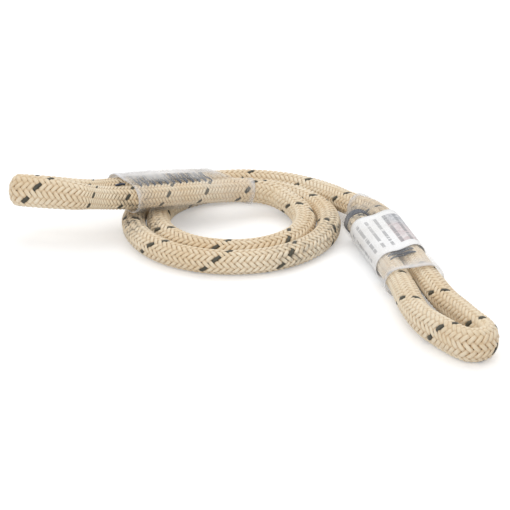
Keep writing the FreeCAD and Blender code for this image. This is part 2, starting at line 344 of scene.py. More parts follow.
left_tip_at = rope_place(sum(left_tip, Vector()) / 4, 0, 0.3)
right_tip_at = rope_place(sum(right_tip, Vector()) / 4, 0.7, 1)
left_shoulder_at = rope_place(left_standing[0], 0.1, 0.4)
right_shoulder_at = rope_place(right_standing[0], 0.6, 0.9)
left_cut = rope_place((left_standing[0] + coil_part[0]) / 2, 0.1, 0.4)
right_cut = rope_place((right_standing[0] + coil_part[-1]) / 2, 0.6, 0.9)
print("tips at %.0f and %.0f mm" % (left_tip_at / MM, right_tip_at / MM))

# %% [markdown]
# ## The braid
# The sheath is a tubular braid of 24 carriers, 12 winding each way, and each carrier lays down one
# plump bundle of filaments that goes over two and under two. A picture of a weave would flatten
# the rope, so each bundle is a real thread here. A Geometry Nodes tree copies the rope's line once
# for each bundle and winds each copy round it. The braid's turn is longer on the free rope than in
# the sleeves, where the rope is squeezed short. It is shortest at the left eye's neck, where the
# weave closes up. At each eye the rope is pressed flat.

# %% Braid sizes
FREE_TURN = 22.3 * MM         # one turn of a yarn round the free rope
SQUEEZED_TURN = 13.8 * MM     # and where the rope is bunched up by the sewing
NECK_AT, NECK_REACH, NECK_SQUEEZE = 28.0 * MM, 3.6 * MM, 0.50     # bunched most, from the left tip
SHOULDER_FADE = (2 * MM, 14 * MM)    # the bunching fades from this far inside a shoulder to this far out
LEFT_OPENED = (21 * MM, 27 * MM)     # and it fades out over this distance from the left tip
RIGHT_OPENED = (37 * MM, 47 * MM)    # and from the right tip
LEFT_TURNED = (14 * MM, 40 * MM)     # tipped with the left eye up to here from its tip, level after
TIP_REACH = 9.0 * MM          # and it is bunched at the tips, whose outside is stretched
LEFT_TIP_SQUEEZE, RIGHT_TIP_SQUEEZE = 0.08, 0.32
TIP_SPREAD = 0.24             # the yarns lie flatter and wider round the outside of a tip
SAMPLES_PER_TURN = 46
CARRIERS_EACH_WAY = 12
TRACER_CARRIER = 18           # the one dark bundle: carriers 0 to 11 wind one way, 12 to 23 the other
YARN_WIDTH = 1.24 * MM
YARN_THICKNESS = 0.74 * MM
YARN_CORNERS = 7
WEAVE_DEPTH = 0.25 * MM
WAVE_DROP = 0.12              # the wave's middle lies this share of the depth below the braid's
BRAID_RADIUS = ROPE_RADIUS * MM - YARN_THICKNESS / 2 - WEAVE_DEPTH * (1 - WAVE_DROP)
EYE_THIN = 0.78               # across the bend, as a share of the round rope
EYE_TALL = 1.32               # and square to it
EYE_SPREAD = 0.10             # a yarn spreads this much wider where the eye opens the weave
EYE_PRESSED = (11.0 * MM, 34.0 * MM)      # pressed fully up to here from the tip, not at all after
FINE_STEPS = 6000             # for adding up the braid's turn along the rope
LOOK = 0.5 * MM               # the rope's direction is read this far ahead and behind


def smooth_step(low, high, value):
    t = np.clip((value - low) / (high - low), 0, 1)
    return t * t * (3 - 2 * t)


# %% The rope's sections: where it is squeezed, turned and pressed flat
def squeezed(at):
    """1 where the braid is bunched, 0 on free rope."""
    inside, outside = SHOULDER_FADE
    left = 1 - smooth_step(left_shoulder_at - inside, left_shoulder_at + outside, at)
    right = smooth_step(right_shoulder_at - outside, right_shoulder_at + inside, at)
    opened = np.maximum(1 - smooth_step(*LEFT_OPENED, np.abs(at - left_tip_at)),
                        1 - smooth_step(*RIGHT_OPENED, np.abs(at - right_tip_at)))
    return np.maximum(left, right) * (1 - opened)


def eye_normal(axis):
    """Unit vector square to the plane of an eye, pointing up."""
    middle = [Vector(row[:3]) for row in axis]
    side = across(middle, len(middle) - 1, axis[-1][4])
    normal = (middle[-1] - middle[-2]).normalized().cross(side).normalized()
    return np.array(normal if normal.z > 0 else -normal)


def sections_at(at):
    """Centre, semi-axis sideways and semi-axis upwards of the braid's middle surface."""
    centre = along_line(at, rope_marks, rope_line)
    along = (along_line(at + LOOK, rope_marks, rope_line)
             - along_line(at - LOOK, rope_marks, rope_line))
    along /= np.linalg.norm(along, axis=1)[:, None]
    near_left = 1 - smooth_step(*LEFT_TURNED, np.abs(at - left_tip_at))
    level = np.array(UP)[None, :]
    upwards = level + near_left[:, None] * (eye_normal(LEFT_AXIS) - level)
    upwards = upwards - (upwards * along).sum(axis=1)[:, None] * along
    upwards /= np.linalg.norm(upwards, axis=1)[:, None]
    sideways = np.cross(upwards, along)
    to_tip = np.minimum(np.abs(at - left_tip_at), np.abs(at - right_tip_at))
    pressed = 1 - smooth_step(*EYE_PRESSED, to_tip)
    wide = BRAID_RADIUS * (1 + (EYE_THIN - 1) * pressed)
    tall = BRAID_RADIUS * (1 + (EYE_TALL - 1) * pressed)
    return centre, sideways * wide[:, None], upwards * tall[:, None]


fine_marks = np.linspace(0, ROPE_LENGTH, FINE_STEPS)
turn_here = FREE_TURN + (SQUEEZED_TURN - FREE_TURN) * squeezed(fine_marks)
neck = np.exp(-((np.abs(fine_marks - left_tip_at) - NECK_AT) / NECK_REACH) ** 2)
turn_here *= 1 - NECK_SQUEEZE * neck
for tip_at, squeeze in ((left_tip_at, LEFT_TIP_SQUEEZE), (right_tip_at, RIGHT_TIP_SQUEEZE)):
    turn_here *= 1 - squeeze * np.exp(-((fine_marks - tip_at) / TIP_REACH) ** 2)
phase_steps = np.diff(fine_marks) * 2 * math.pi / ((turn_here[1:] + turn_here[:-1]) / 2)
fine_phase = np.concatenate([[0.0], np.cumsum(phase_steps)])
print("a yarn makes %.1f turns from end to end" % (fine_phase[-1] / 2 / math.pi))


def slope(turn):
    """Cosine of a yarn's angle to the rope, for a given length of one turn."""
    return np.cos(np.arctan(2 * math.pi * BRAID_RADIUS / turn))


# %% A line of the rope that carries what the braid needs to know
def braid_guide(name, start, end):
    """The rope's line from one distance to another, with its turn, sections and fineness."""
    phase_a, phase_b = np.interp([start, end], fine_marks, fine_phase)
    count = max(8, round((phase_b - phase_a) / (2 * math.pi) * SAMPLES_PER_TURN))
    phase = np.linspace(phase_a, phase_b, count + 1)
    at = np.interp(phase, fine_phase, fine_marks)
    centre, sideways, upwards = sections_at(at)
    mesh = bpy.data.meshes.new(name)
    mesh.from_pydata(centre.tolist(), [(i, i + 1) for i in range(count)], [])
    to_tip = np.minimum(np.abs(at - left_tip_at), np.abs(at - right_tip_at))
    spread = 1 + EYE_SPREAD * (1 - smooth_step(*EYE_PRESSED, to_tip))
    spread += TIP_SPREAD * np.exp(-(to_tip / TIP_REACH) ** 2)
    fineness = spread * slope(np.interp(at, fine_marks, turn_here)) / slope(FREE_TURN)
    facts = (("turn", "FLOAT", phase), ("fineness", "FLOAT", fineness), ("place", "FLOAT", at / MM),
             ("sideways", "FLOAT_VECTOR", sideways), ("upwards", "FLOAT_VECTOR", upwards))
    for fact, kind, values in facts:
        field = "value" if kind == "FLOAT" else "vector"
        store = mesh.attributes.new(fact, kind, "POINT")
        store.data.foreach_set(field, np.asarray(values, np.float32).ravel())
    return mesh, centre


# %% [markdown]
# ## Finishes of the rope
# The yarns are matt aramid filaments in a warm straw colour, with one dark tracer bundle.
# A filament is about 12 micrometres thick, which is far too fine to show, so the streaks along
# each yarn are drawn at about 0.15 mm. Hands and the ground have greyed the rope in three places.

# %% Short ways to write a finish
def attribute(tree, name):
    return Sum(tree, add(tree, "ShaderNodeAttribute", {"attribute_name": name}).outputs["Fac"])


def object_place(tree):
    return add(tree, "ShaderNodeTexCoord").outputs["Object"]


def noise(tree, vector, scale, detail=2.0):
    node = add(tree, "ShaderNodeTexNoise", None, {"Vector": vector, "Scale": scale, "Detail": detail})
    return Sum(tree, node.outputs["Fac"])


def ramp(tree, value, low, high, to_low=0.0, to_high=1.0, soft=False):
    """Carries a value from one range to another, and holds it at both ends."""
    kind = "SMOOTHSTEP" if soft else "LINEAR"
    node = add(tree, "ShaderNodeMapRange", {"interpolation_type": kind},
               {"Value": value, "From Min": low, "From Max": high, "To Min": to_low, "To Max": to_high})
    return Sum(tree, node.outputs[0])


def mixed(tree, share, low, high):
    """Two colours mixed, each given as a hex value or a socket."""
    low, high = [linear(colour) if isinstance(colour, str) else colour for colour in (low, high)]
    return add(tree, "ShaderNodeMix", {"data_type": "RGBA"}, {0: share, 6: low, 7: high}).outputs[2]


def bumps(tree, height, strength, distance):
    inputs = {"Height": height, "Strength": strength, "Distance": distance}
    return add(tree, "ShaderNodeBump", None, inputs).outputs[0]


def surface(tree, inputs):
    shader = add(tree, "ShaderNodeBsdfPrincipled", None, inputs)
    add(tree, "ShaderNodeOutputMaterial", None, {"Surface": shader.outputs[0]})


# %% Aramid yarn
SOIL_SPOTS = (
    # place in millimetres, reach in millimetres, strength
    ((-33.0, 20.0, 8.0), 15.0, 1.0),
    ((39.0, 14.0, 6.0), 22.0, 1.0),
    ((24.0, -7.0, 9.0), 18.0, 0.9),
)
STREAKS = (0.6, 22.0, 7.3)        # per millimetre of yarn, round the yarn, and a step for each yarn


def yarn_material(name, low, high, groove_shade, soil_colour, sheen):
    """Braided filament yarn: streaks along it, uneven colour, painted shade in the weave, soil, and a soft
    bump.
    """
    finish, tree = material(name)
    place, round_it = object_place(tree), attribute(tree, "round_yarn")
    streak_at = add(tree, "ShaderNodeCombineXYZ", None,
                    {0: attribute(tree, "along_yarn"), 1: round_it, 2: attribute(tree, "yarn")})
    streak_size = add(tree, "ShaderNodeVectorMath", {"operation": "MULTIPLY"},
                      {0: streak_at.outputs[0], 1: STREAKS})
    streak = noise(tree, streak_size.outputs[0], 1.0)
    base = mixed(tree, ramp(tree, streak + noise(tree, place, 60.0, 3.0), 0.75, 1.25), low, high)
    # each float keeps its lit colour on its crown; painted shade darkens it where it dives under its
    # neighbours and towards its two sides
    crown = ramp(tree, attribute(tree, "float"), -0.75, 0.55, soft=True)
    lit_crown = crown * ramp(tree, (round_it - 0.5).to("ABSOLUTE"), 0.12, 0.36, 1.0, 0.55)
    colour = mixed(tree, lit_crown, groove_shade, base)
    # soil shows as specks, mostly low in the weave
    specks = ramp(tree, noise(tree, place, 520.0, 3.0), 0.42, 0.58) * (1.75 - lit_crown * 1.3)
    for centre, reach, strength in SOIL_SPOTS:
        distance = add(tree, "ShaderNodeVectorMath", {"operation": "DISTANCE"},
                       {0: place, 1: tuple(Vector(centre) * MM)}).outputs["Value"]
        inside = ramp(tree, distance, reach * MM, 0.0, 0.0, strength, soft=True)
        colour = mixed(tree, inside * specks, colour, soil_colour)
    surface(tree, {"Base Color": colour, "Roughness": 0.5,
                   "Normal": bumps(tree, streak, 0.35, 0.06 * MM),
                   "Sheen Weight": sheen, "Sheen Roughness": 0.4, "Specular IOR Level": 0.35})
    return finish


# the third colour of each yarn is painted shade for the hollows of the weave, the fourth is soil
straw_yarn = yarn_material("straw_aramid_yarn", "#E7CFAA", "#F9EDD6", "#C9A981", "#454340", 0.25)
tracer_yarn = yarn_material("dark_tracer_yarn", "#3A3932", "#646153", "#2C2A24", "#35332C", 0.10)

# The core is a bundle of straight filaments, coloured as dark as they look in the yarns' shadow.
core_finish, tree = material("filament_core")
grain = noise(tree, object_place(tree), 900.0)
surface(tree, {"Base Color": mixed(tree, grain, "#A88E64", "#C6AC80"), "Roughness": 0.8})


# %% Short ways to write a Geometry Nodes tree
def named(tree, name, vector=False):
    kind = "FLOAT_VECTOR" if vector else "FLOAT"
    node = add(tree, "GeometryNodeInputNamedAttribute", {"data_type": kind}, {"Name": name})
    return node.outputs[0] if vector else Sum(tree, node.outputs[0])


def stored(tree, geometry, name, value, kind="FLOAT", domain="POINT"):
    return add(tree, "GeometryNodeStoreNamedAttribute", {"data_type": kind, "domain": domain},
               {"Geometry": geometry, "Name": name, "Value": value}).outputs[0]


def vectors(tree, operation, a, b=None, scale=None):
    inputs = {0: a}
    if b is not None:
        inputs[1] = b
    if scale is not None:
        inputs["Scale"] = scale
    return add(tree, "ShaderNodeVectorMath", {"operation": operation}, inputs).outputs[0]


def new_tree(name, sizes):
    """A Geometry Nodes tree with a geometry input and output, and one named input for each size."""
    tree = bpy.data.node_groups.new(name, "GeometryNodeTree")
    for way in ("INPUT", "OUTPUT"):
        tree.interface.new_socket("Geometry", in_out=way, socket_type="NodeSocketGeometry")
    for label, value in sizes.items():
        kind = "NodeSocketInt" if isinstance(value, int) else "NodeSocketFloat"
        tree.interface.new_socket(label, in_out="INPUT", socket_type=kind)
    return tree, {socket.name: Sum(tree, socket) for socket in add(tree, "NodeGroupInput").outputs}


def real_faces(tree, geometry, finish):
    """Smooth faces in place of instances, with their material."""
    smooth = add(tree, "GeometryNodeSetShadeSmooth", None, {0: geometry})
    real = add(tree, "GeometryNodeRealizeInstances", None, {0: smooth.outputs[0]})
    return add(tree, "GeometryNodeSetMaterial", None,
               {"Geometry": real.outputs[0], "Material": finish}).outputs[0]


# %% The braid tree
BRAID_SIZES = {
    "Carriers Each Way": CARRIERS_EACH_WAY, "Tracer Carrier": TRACER_CARRIER,
    "Yarn Width": YARN_WIDTH, "Yarn Thickness": YARN_THICKNESS,
    "Weave Depth": WEAVE_DEPTH, "Braid Radius": BRAID_RADIUS,
}


def build_braid_tree():
    tree, size = new_tree("tubular_braid", BRAID_SIZES)
    line = add(tree, "GeometryNodeMeshToCurve", None, {"Mesh": size["Geometry"]})
    copies = add(tree, "GeometryNodeDuplicateElements", {"domain": "SPLINE"},
                 {"Geometry": line.outputs[0], "Amount": size["Carriers Each Way"] * 2.0})
    # which way it winds, and which carrier of those that wind that way it comes from
    number = Sum(tree, copies.outputs["Duplicate Index"])
    hand = (number / size["Carriers Each Way"]).to("FLOOR")
    sign = 1.0 - hand * 2.0
    carrier = number - hand * size["Carriers Each Way"]
    # its angle round the rope
    turn = named(tree, "turn") * sign
    gap = 2 * math.pi / size["Carriers Each Way"]
    angle = turn + carrier * gap
    # over two, under two: the yarns it has crossed so far, four to a wave
    wave_at = turn * 2.0 / gap + carrier * 2.0 - 0.5
    wave = (wave_at * (math.pi / 2)).to("COSINE") * sign - WAVE_DROP
    reach = wave * (size["Weave Depth"] / size["Braid Radius"]) + 1.0
    # place round the pressed section, and the way out of it
    sideways, upwards = named(tree, "sideways", True), named(tree, "upwards", True)
    steps, slopes = [], []
    for axis, share in ((sideways, angle.to("COSINE")), (upwards, angle.to("SINE"))):
        steps.append(vectors(tree, "SCALE", axis, scale=share))
        squared = add(tree, "ShaderNodeVectorMath", {"operation": "DOT_PRODUCT"}, {0: axis, 1: axis})
        slopes.append(vectors(tree, "SCALE", axis, scale=share / squared.outputs["Value"]))
    offset = vectors(tree, "SCALE", vectors(tree, "ADD", *steps), scale=reach)
    outwards = vectors(tree, "NORMALIZE", vectors(tree, "ADD", *slopes))
    # what the finish and the rest of the tree need to know
    tracer = add(tree, "FunctionNodeCompare", {"operation": "EQUAL"},
                 {0: number, 1: size["Tracer Carrier"], 12: 0.01})
    keep = stored(tree, copies.outputs["Geometry"], "yarn", number, domain="CURVE")
    keep = stored(tree, keep, "tracer", tracer.outputs[0], domain="CURVE")
    keep = stored(tree, keep, "outwards", outwards, "FLOAT_VECTOR")
    keep = stored(tree, keep, "float", wave)
    moved = add(tree, "GeometryNodeSetPosition", None, {"Geometry": keep, "Offset": offset})
    faced = add(tree, "GeometryNodeSetCurveNormal", {"mode": "FREE"},
                {"Curve": moved.outputs[0], "Normal": named(tree, "outwards", True)})
    length = Sum(tree, add(tree, "GeometryNodeSplineParameter").outputs["Length"])
    laid = stored(tree, faced.outputs[0], "along_yarn", length / MM)
    # a flat oval yarn, its seam turned to the inside
    ring = add(tree, "GeometryNodeCurvePrimitiveCircle", {"mode": "RADIUS"},
               {"Resolution": YARN_CORNERS, "Radius": 0.5})
    ring_part = add(tree, "GeometryNodeSplineParameter").outputs["Factor"]
    turned = add(tree, "GeometryNodeTransform", None,
                 {"Geometry": stored(tree, ring.outputs[0], "round_yarn", ring_part),
                  "Rotation": (0, 0, math.pi)})
    oval = add(tree, "ShaderNodeCombineXYZ", None,
               {0: size["Yarn Thickness"], 1: size["Yarn Width"], 2: 1.0})
    profile = add(tree, "GeometryNodeTransform", None,
                  {"Geometry": turned.outputs[0], "Scale": oval.outputs[0]})
    yarns = add(tree, "GeometryNodeCurveToMesh", None,
                {"Curve": laid, "Profile Curve": profile.outputs[0],
                 "Scale": named(tree, "fineness"), "Fill Caps": True})
    straw = real_faces(tree, yarns.outputs[0], straw_yarn)
    is_tracer = add(tree, "FunctionNodeCompare", {"operation": "GREATER_THAN"},
                    {0: named(tree, "tracer"), 1: 0.5})
    dark = add(tree, "GeometryNodeSetMaterial", None,
               {"Geometry": straw, "Selection": is_tracer.outputs[0], "Material": tracer_yarn})
    add(tree, "NodeGroupOutput", None, {0: dark.outputs[0]})
    return tree


braid_tree = build_braid_tree()


def grow(name, guide, tree, sizes):
    """Runs a tree on a guide mesh and keeps the result as a plain mesh object."""
    holder = link_object(name + "_guide", guide)
    modifier = holder.modifiers.new("grow", "NODES")
    modifier.node_group = tree
    for socket in tree.interface.items_tree:
        if socket.name in sizes:
            modifier[socket.identifier] = sizes[socket.name]
    bpy.context.view_layer.update()
    evaluated = holder.evaluated_get(bpy.context.evaluated_depsgraph_get())
    mesh = bpy.data.meshes.new_from_object(evaluated)
    holder.modifiers.clear()
    bpy.data.objects.remove(holder)
    mesh.name = name
    return link_object(name, mesh)


# %% The sheath, in pieces that meet end to end
# Two ropes side by side in a sleeve and a two-turn coil are too many faces for one piece.
coil_thirds = np.linspace(left_cut, right_cut, 4)
right_half = (right_cut + ROPE_LENGTH) / 2
ROPE_PIECES = (
    # name, from, to, CAD nodes it stands for, how it lies
    ("left_eye_rope", 0.0, left_cut, ("left_eye_sheath",), "loose"),
    ("coil_rope_1", coil_thirds[0], coil_thirds[1], ("coil_sheath",), "coiled"),
    ("coil_rope_2", coil_thirds[1], coil_thirds[2], ("coil_sheath",), "coiled"),
    ("coil_rope_3", coil_thirds[2], coil_thirds[3], ("coil_sheath",), "coiled"),
    ("right_eye_rope_1", right_cut, right_half, ("right_eye_sheath",), "loose"),
    ("right_eye_rope_2", right_half, ROPE_LENGTH, ("right_eye_sheath",), "loose"),
)
for name, start, end, cad_nodes, lay in ROPE_PIECES:
    guide, centres = braid_guide(name, start, end)
    piece = grow(name, guide, braid_tree, BRAID_SIZES)
    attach(piece, "root")
    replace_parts(piece, *cad_nodes)
    end - start
    print(name, len(piece.data.polygons), "faces,", round((end - start) / MM, 1), "mm")

# %% [markdown]
# ## The core
# Inside the braid lies the bundle that carries the load. It is hidden, but without it light would
# pass between the yarns. A plain tube on the same line, as flat as the rope is at its eyes, does it.

# %% Core tube
CORE_SHARE = 0.89         # of the braid's middle surface, so that the lower yarns rest on it
CORE_CORNERS = 16
CORE_STEP = 2.2 * MM


def rings_mesh(name, rings):
    """A closed skin over rings of points that all have the same count."""
    count, corners = len(rings), len(rings[0])
    points = [tuple(point) for ring in rings for point in ring]
    faces = []
    for row in range(count - 1):
        for k in range(corners):
            n = (k + 1) % corners
            faces.append((row * corners + k, row * corners + n, (row + 1) * corners + n,
                          (row + 1) * corners + k))
    faces.append(tuple(range(corners))[::-1])
    faces.append(tuple((count - 1) * corners + k for k in range(corners)))
    mesh = bpy.data.meshes.new(name)
    mesh.from_pydata(points, [], faces)
    mesh.polygons.foreach_set("use_smooth", [len(face) == 4 for face in faces])
    return mesh


core_at = np.linspace(0, ROPE_LENGTH, round(ROPE_LENGTH / CORE_STEP))
centre, sideways, upwards = sections_at(core_at)
core_rings = []
for middle, across_it, up_it in zip(centre, sideways * CORE_SHARE, upwards * CORE_SHARE):
    angles = 2 * math.pi * np.arange(CORE_CORNERS) / CORE_CORNERS
    core_rings.append([middle + across_it * math.cos(a) + up_it * math.sin(a) for a in angles])
core = link_object("rope_core", rings_mesh("rope_core", core_rings))
core.data.materials.append(core_finish)
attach(core, "root")
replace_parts(core, "left_eye_core", "coil_core", "right_eye_core")
print("core of", len(core.data.polygons), "faces")


# %% [markdown]
# ## The sewn pairs
# Where each end is folded back, two ropes lie side by side. The label, the stitching and the
# sleeve are all set out from the middle line of that pair, its direction across and its
# direction up, as a tailor works from the middle of a seam.

# %% Sections of a pair
def section(centre, along, side):
    """The centre, with unit vectors along, across and up that are square to each other."""
    side = side - along * side.dot(along)
    side /= np.linalg.norm(side)
    return centre, along, side, np.cross(along, side)


class SewnPair:
    """The stretch from one sleeve's shoulder to its mouth, measured from the shoulder."""

    def __init__(self, axis, shoulder_at, away_sign):
        middle = [Vector(row[:3]) for row in axis]
        self.line = spline_points("pair_line", middle)
        self.marks = distances(self.line)
        sides = [tuple(across(middle, index, row[4])) for index, row in enumerate(axis)]
        corners = distances(np.array([tuple(point * MM) for point in middle]))
        self.sides = along_line(self.marks, corners * (self.marks[-1] / corners[-1]), np.array(sides))
        self.shoulder_at = shoulder_at
        self.away_sign = away_sign

    def station(self, distance):
        """Centre, along, across and up, at a distance in metres from the shoulder."""
        at = max(distance, 0.0)
        ahead = along_line(at + MM, self.marks, self.line)
        behind = along_line(max(at - MM, 0), self.marks, self.line)
        along = (ahead - behind) / np.linalg.norm(ahead - behind)
        return section(along_line(at, self.marks, self.line), along,
                       along_line(at, self.marks, self.sides))

    def on_single(self, distance):
        """The same round the single rope, at a distance before the shoulder."""
        at = self.shoulder_at + self.away_sign * distance
        centre = along_line(at, rope_marks, rope_line)
        along = (centre - along_line(at + MM, rope_marks, rope_line)) * self.away_sign
        along /= np.linalg.norm(along)
        return section(centre, along, self.station(0)[2])


left_pair = SewnPair(LEFT_AXIS, left_shoulder_at, 1)
right_pair = SewnPair(RIGHT_AXIS, right_shoulder_at, -1)

SLEEVE_CORNERS = 56
LOBE_DIP = 0.42          # the film sinks this far into the valley between the two ropes, in mm
VALLEY_WIDTH = 2.3


def wrap(station, half_straight, radius, dip=0.0, slant=0.0):
    """One ring round a pair: an oval with a shallow valley along its top and its bottom.

    slant moves the ring along the pair by that much on one side and back on the other.
    """
    centre, along, side, up = station
    ring = []
    straight, arc = 2 * half_straight, math.pi * radius
    total = 2 * straight + 2 * arc
    for k in range(SLEEVE_CORNERS):
        d = total * k / SLEEVE_CORNERS
        if d < straight:
            x, z = half_straight - d, radius
        elif d < straight + arc:
            a = (d - straight) / radius
            x, z = -half_straight - radius * math.sin(a), radius * math.cos(a)
        elif d < 2 * straight + arc:
            x, z = -half_straight + (d - straight - arc), -radius
        else:
            a = (d - 2 * straight - arc) / radius
            x, z = half_straight + radius * math.sin(a), -radius * math.cos(a)
        z -= math.copysign(dip * math.exp(-(x / VALLEY_WIDTH) ** 2), z)
        shift = slant * x / (half_straight + radius)
        ring.append(centre + (side * x + up * z + along * shift) * MM)
    return ring


# %% [markdown]
# ## Stitching
# A lockstitch machine zigzags a bonded polyester thread across both ropes. Each stitch is the
# same short bridge, so it is drawn once as a curve and a tree sets a copy at every needle hole.

# %% Polyester thread
thread_finish, tree = material("navy_bonded_thread")
# plies of the thread repeat about every 0.5 mm
plies = add(tree, "ShaderNodeTexWave", {"wave_type": "BANDS", "bands_direction": "DIAGONAL"},
            {"Vector": object_place(tree), "Scale": 700.0, "Distortion": 1.5}).outputs["Fac"]
surface(tree, {"Base Color": mixed(tree, plies, "#1B2230", "#3A465C"), "Roughness": 0.45,
               "Normal": bumps(tree, plies, 0.5, 0.08 * MM)})

# %% Stitch tree
THREAD_DIAMETER = 0.5
STITCH_PITCH = 1.15
STITCH_REACH = 4.7          # the thread shows this far out over each rope
VALLEY_HEIGHT = 3.8         # of the thread over the middle of the pair
STITCH_SIZES = {"Thread Diameter": THREAD_DIAMETER * MM, "Stitch Half Length": STITCH_REACH * MM,
                "Hole Depth": 1.2 * MM, "Crest": 0.38 * MM}


def build_stitch_tree():
    tree, size = new_tree("zigzag_stitches", STITCH_SIZES)
    # a straight run across the pair, from -1 to 1, that is then lifted over the two ropes
    run = add(tree, "GeometryNodeCurvePrimitiveLine", {"mode": "POINTS"},
              {"Start": (-1, 0, 0), "End": (1, 0, 0)})
    steps = add(tree, "GeometryNodeResampleCurve", None, {"Curve": run.outputs[0], "Count": 17})
    here = add(tree, "GeometryNodeInputPosition").outputs[0]
    share = Sum(tree, add(tree, "ShaderNodeSeparateXYZ", None, {0: here}).outputs[0])
    outwards = share.to("ABSOLUTE")
    # the crest rises up to 0.7 of the way out, and the end dives into its hole
    crest = (outwards.to("MINIMUM", 0.7) * (math.pi / 1.4)).to("SINE") * size["Crest"]
    drop = outwards.to("POWER", 8.0) * size["Hole Depth"]
    laid = add(tree, "ShaderNodeCombineXYZ", None,
               {0: share * size["Stitch Half Length"], 2: crest - drop})
    bridge = add(tree, "GeometryNodeSetPosition", None,
                 {"Geometry": steps.outputs[0], "Position": laid.outputs[0]})
    thick = add(tree, "GeometryNodeCurvePrimitiveCircle", {"mode": "RADIUS"},
                {"Resolution": 8, "Radius": size["Thread Diameter"] * 0.5})
    thread = add(tree, "GeometryNodeCurveToMesh", None,
                 {"Curve": bridge.outputs[0], "Profile Curve": thick.outputs[0], "Fill Caps": True})
    aim = add(tree, "FunctionNodeAxesToRotation", {"primary_axis": "Z", "secondary_axis": "X"},
              {0: named(tree, "up", True), 1: named(tree, "over", True)})
    points = add(tree, "GeometryNodeMeshToPoints", None, {0: size["Geometry"]})
    copies = add(tree, "GeometryNodeInstanceOnPoints", None,
                 {"Points": points.outputs[0], "Instance": thread.outputs[0],
                  "Rotation": aim.outputs[0]})
    add(tree, "NodeGroupOutput", None, {0: real_faces(tree, copies.outputs[0], thread_finish)})
    return tree


stitch_tree = build_stitch_tree()


def stitch_guide(name, pair, start, end, face):
    """One point for each stitch, with its direction across the pair and its direction up."""
    count = int((end - start) / STITCH_PITCH)
    places, overs, ups = [], [], []
    for index in range(count):
        hand = 1 if index % 2 else -1
        first = (start + index * STITCH_PITCH) * MM
        centre, along, side, up = pair.station(first + STITCH_PITCH / 2 * MM)
        over = side * (hand * 2 * STITCH_REACH) + along * STITCH_PITCH
        places.append(centre + up * face * VALLEY_HEIGHT * MM)
        overs.append(over / np.linalg.norm(over))
        ups.append(up * face)
    mesh = bpy.data.meshes.new(name)
    mesh.from_pydata([tuple(p) for p in places], [], [])
    for fact, values in (("over", overs), ("up", ups)):
        store = mesh.attributes.new(fact, "FLOAT_VECTOR", "POINT")
        store.data.foreach_set("vector", np.asarray(values, np.float32).ravel())
    return mesh


LEFT_SEWN = distances(np.array([row[:3] for row in LEFT_AXIS[:3]]))[-1]
RIGHT_SEWN = distances(np.array([row[:3] for row in RIGHT_AXIS[:4]]))[-1]
SEAMS = (
    # side, pair, first and last stitch from the shoulder; the right seam stops short of the mouth
    ("left", left_pair, 3.0, LEFT_SEWN - 3.0),
    ("right", right_pair, 8.0, 37.3),
)
for side_name, pair, start, end in SEAMS:
    for thread_name, face in (("needle", 1), ("bobbin", -1)):
        name = "%s_%s_stitches" % (side_name, thread_name)
        guide = stitch_guide(name, pair, start, end, face)
        piece = grow(name, guide, stitch_tree, STITCH_SIZES)
        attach(piece, "root")
        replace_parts(piece, "%s_%s_thread" % (side_name, thread_name))
        print(name, len(piece.data.polygons), "faces")

# %% [markdown]
# ## Tail binding
# The cut end of the rope is bound with a few turns of dark thread before it is sewn down, so that
# it can't fray. A short helix on the rope's own line is what such a binding is.

# %% Binding round the cut end of the right tail
BAND_TURNS = 4
BAND_POINTS = 20             # in each turn
BAND_START, BAND_END = 2.6, 0.2     # from the cut end, in mm
BAND_OUT = 0.02              # the thread's middle lies this far outside the rope's surface
BAND_THREAD_RADIUS = 0.34
band_at = np.linspace(ROPE_LENGTH - BAND_START * MM, ROPE_LENGTH - BAND_END * MM,
                      BAND_TURNS * BAND_POINTS + 1)
centre, sideways, upwards = sections_at(band_at)
band_scale = (ROPE_RADIUS + BAND_OUT) * MM / BRAID_RADIUS


def thread_piece(name, lines, radius):
    """Round threads along lines of points, as one mesh."""
    curve = bpy.data.curves.new(name + "_curve", "CURVE")
    curve.dimensions = "3D"
    curve.bevel_depth = radius
    curve.bevel_resolution = 2
    curve.use_fill_caps = True
    for line in lines:
        spline = curve.splines.new("POLY")
        spline.points.add(len(line) - 1)
        for target, spot in zip(spline.points, line):
            target.co = (*spot, 1.0)
    holder = link_object(name + "_curve", curve)
    piece = link_object(name, bpy.data.meshes.new_from_object(holder))
    bpy.data.objects.remove(holder)
    piece.data.materials.append(thread_finish)
    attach(piece, "root")
    return piece


helix = []
for k in range(len(band_at)):
    a = 2 * math.pi * k / BAND_POINTS
    helix.append(centre[k] + (sideways[k] * math.cos(a) + upwards[k] * math.sin(a)) * band_scale)
band = thread_piece("tail_binding", [helix], BAND_THREAD_RADIUS * MM)
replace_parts(band, "right_tail_band")

# %% End of the left seam's thread, tucked out at the sleeve's mouth
END_LENGTH = 3.2
END_STRANDS = (1.3, 2.0, 2.7)      # from the middle of the pair, on the standing rope
END_RADIUS = 0.32
END_PAST_MOUTH = 1.2
END_STAGGER = 0.3                  # each strand lies this much further along than the one before
END_WAVER = 0.25
END_LIFT, END_DROOP = 0.2, 0.8
centre, along, side, up = left_pair.station((LEFT_SEWN + END_PAST_MOUTH) * MM)
strands = []
for strand, out in enumerate(END_STRANDS):
    height = math.sqrt((ROPE_RADIUS + END_RADIUS) ** 2 - (HALF_PAIR - out) ** 2)
    strands.append([centre + (along * (share * END_LENGTH + END_STAGGER * strand)
                              + side * (out + END_WAVER * math.sin(4 * share))
                              + up * (height + END_LIFT - END_DROOP * share ** 2)) * MM
                    for share in np.linspace(-0.5, 0.5, 9)])
thread_piece("left_thread_end", strands, END_RADIUS * MM)

# %% [markdown]
# ## The label
# A white film, printed in grey, is wrapped once round the right pair under the sleeve. Its rows
# of print are plain grey bars here, and its picture is a plain tinted block, so that it says
# nothing. The film has its own map, with u along the rope and v round it, and the print is drawn
# on that map.

